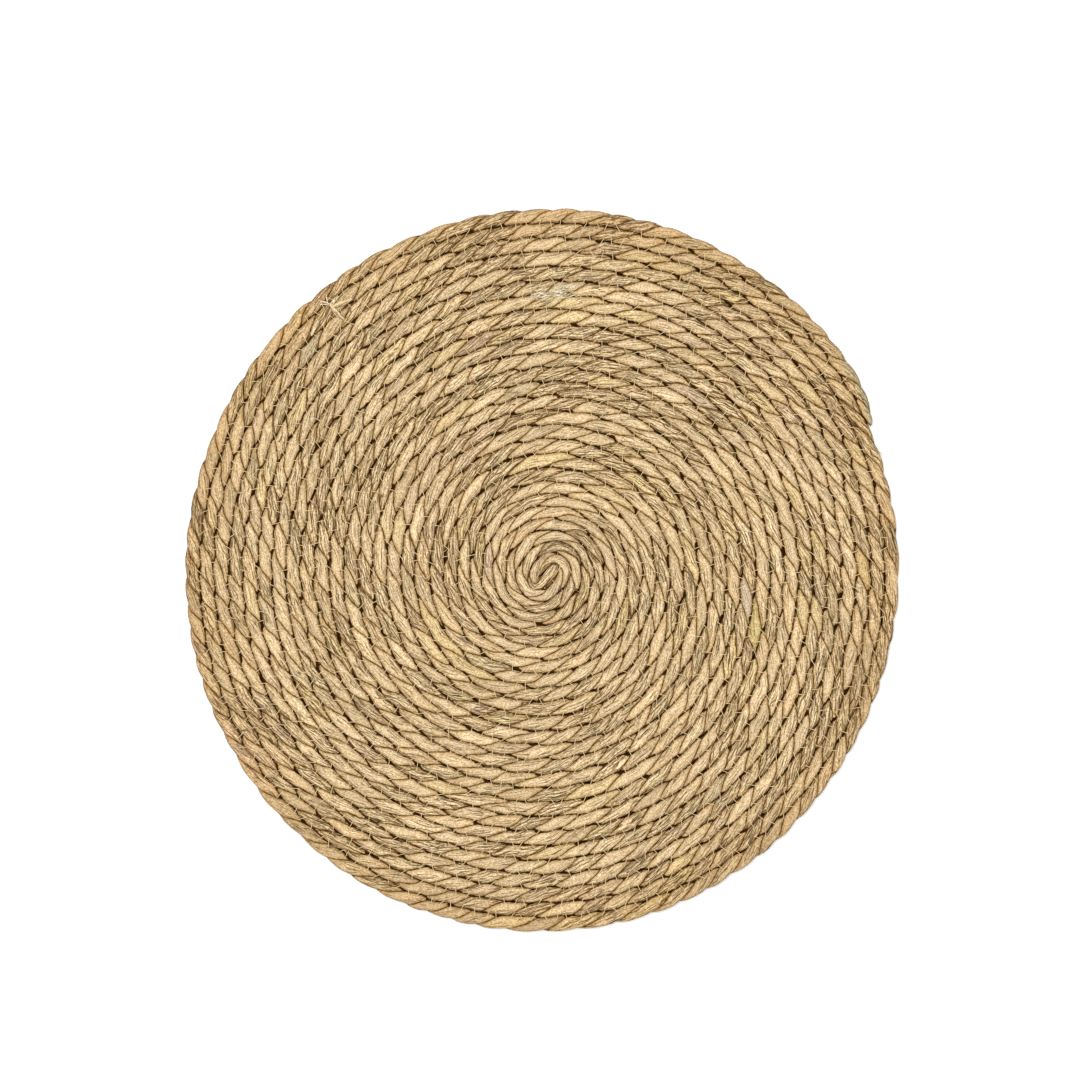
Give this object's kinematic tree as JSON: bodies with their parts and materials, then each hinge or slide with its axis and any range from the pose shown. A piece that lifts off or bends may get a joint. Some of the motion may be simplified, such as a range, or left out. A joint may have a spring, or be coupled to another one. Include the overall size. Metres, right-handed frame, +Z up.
{
  "type": "round jute placemat",
  "caption": "Flat round table mat made of a single two-ply twisted plant-fibre cord, coiled from the middle outwards and sewn turn to turn.",
  "frame": {"origin": "middle of the mat's outline, on the surface that the mat lies on", "axes": "+Z up out of the mat's face; +Y towards the top of the mat as seen from above; the cord ends at the rim between +X and +Y"},
  "size_m": [0.3774, 0.3826, 0.007],
  "materials": {
    "cord": "matte, creased dried leaf, tan with paler and browner strands",
    "sewing_thread": "matte pale beige thread"
  },
  "bodies": {
    "root": {"coiled_mat": "cord"}
  },
  "joints": []
}
